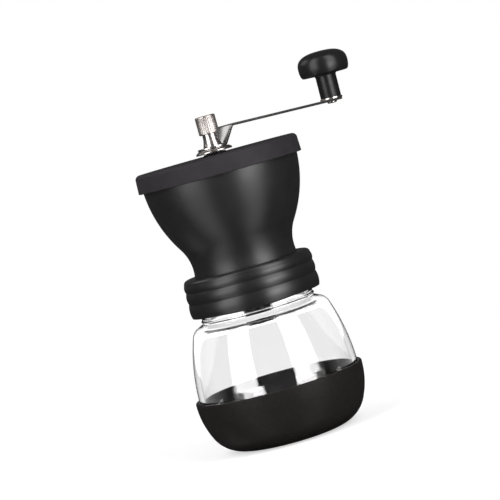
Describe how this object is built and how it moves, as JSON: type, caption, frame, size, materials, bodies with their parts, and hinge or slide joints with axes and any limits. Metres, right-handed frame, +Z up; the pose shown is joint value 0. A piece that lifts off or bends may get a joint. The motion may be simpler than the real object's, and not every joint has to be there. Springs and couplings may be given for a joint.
{
  "type": "hand crank coffee grinder",
  "caption": "Hand crank coffee grinder: glass jar in a grip sleeve, screw-on ribbed collar and waisted hopper with a conical burr mill, lift-off lid, bent strip crank with a mushroom knob.",
  "frame": {"origin": "on the grinder's axis, in the plane it stands on", "axes": "+Z up along the shaft; +X along the crank, towards the knob, in the rest pose"},
  "size_m": [0.158, 0.094, 0.2002],
  "materials": {
    "clear_glass": "clear, polished",
    "sleeve_rubber": "matt, brown-black",
    "hopper_plastic": "satin black",
    "collar_plastic": "satin black, ribbed",
    "lid_plastic": "matt dark grey",
    "inner_plastic": "plain moulded",
    "bush_brass": "machined",
    "burr_ceramic": "fired, unglazed",
    "shaft_steel": "turned",
    "spring_steel": "drawn wire",
    "crank_steel": "polished strip",
    "nut_plated": "plated, warm",
    "knob_plastic": "satin black"
  },
  "bodies": {
    "sleeve": {"grip_sleeve": "sleeve_rubber"},
    "jar": {"glass_jar": "clear_glass"},
    "bearing": {"upper_bush": "bush_brass", "lower_bush": "bush_brass"},
    "mill": {"hopper": "hopper_plastic", "thread_collar": "collar_plastic", "burr_housing": "inner_plastic", "outer_burr": "burr_ceramic"},
    "lid_cover": {"lid": "lid_plastic"},
    "drive": {"drive_shaft": "shaft_steel", "burr_spring": "spring_steel", "spring_washer": "shaft_steel"},
    "cutter": {"inner_burr": "burr_ceramic", "burr_core": "inner_plastic", "lock_plate": "shaft_steel"},
    "adjuster": {"adjuster_nut": "inner_plastic"},
    "crank": {"crank_arm": "crank_steel", "hub_washer": "crank_steel", "knob_pin": "shaft_steel", "knob_washer": "shaft_steel"},
    "top_nut": {"handle_nut": "nut_plated"},
    "grip": {"knob": "knob_plastic"}
  },
  "joints": [
    {"name": "jar_out", "type": "slide", "parent": "sleeve", "child": "jar", "axis": [0, 0, 1], "range_m": [0, 0.035]},
    {"name": "mill_lift", "type": "slide", "parent": "jar", "child": "bearing", "axis": [0, 0, 1], "range_m": [0, 0.0305]},
    {"name": "mill_turn", "type": "hinge", "parent": "bearing", "child": "mill", "pos_m": [0, 0, 0.09], "axis": [0, 0, 1], "range_deg": [0, 1800]},
    {"name": "lid_lift", "type": "slide", "parent": "mill", "child": "lid_cover", "axis": [0, 0, 1], "range_m": [0, 0.0135]},
    {"name": "crank_turn", "type": "hinge", "parent": "mill", "child": "drive", "pos_m": [0, 0, 0.12], "axis": [0, 0, 1], "continuous": true},
    {"name": "burr_set", "type": "slide", "parent": "drive", "child": "cutter", "axis": [0, 0, -1], "range_m": [-0.00025, 0.00125], "deforming": ["burr_spring"]},
    {"name": "adjuster_turn", "type": "hinge", "parent": "cutter", "child": "adjuster", "pos_m": [0, 0, 0.07], "axis": [0, 0, -1], "range_deg": [-90, 450]},
    {"name": "crank_off", "type": "slide", "parent": "drive", "child": "crank", "axis": [0, 0, 1], "range_m": [0, 0.016]},
    {"name": "nut_turn", "type": "hinge", "parent": "crank", "child": "top_nut", "pos_m": [0, 0, 0.17], "axis": [0, 0, 1], "range_deg": [0, 5760]},
    {"name": "knob_spin", "type": "hinge", "parent": "crank", "child": "grip", "pos_m": [0.096, 0, 0.17052], "axis": [0.0262, 0, 0.9997], "continuous": true}
  ],
  "couplings": [
    {"joint": "mill_lift", "follows": "mill_turn", "m_per_rad": 0.00095493},
    {"joint": "adjuster_turn", "follows": "burr_set", "rad_per_m": 6283.2},
    {"joint": "nut_turn", "follows": "crank_off", "rad_per_m": 6283.2},
    {"joint": "lid_lift", "follows": "crank_off", "ratio": 0.83333}
  ]
}
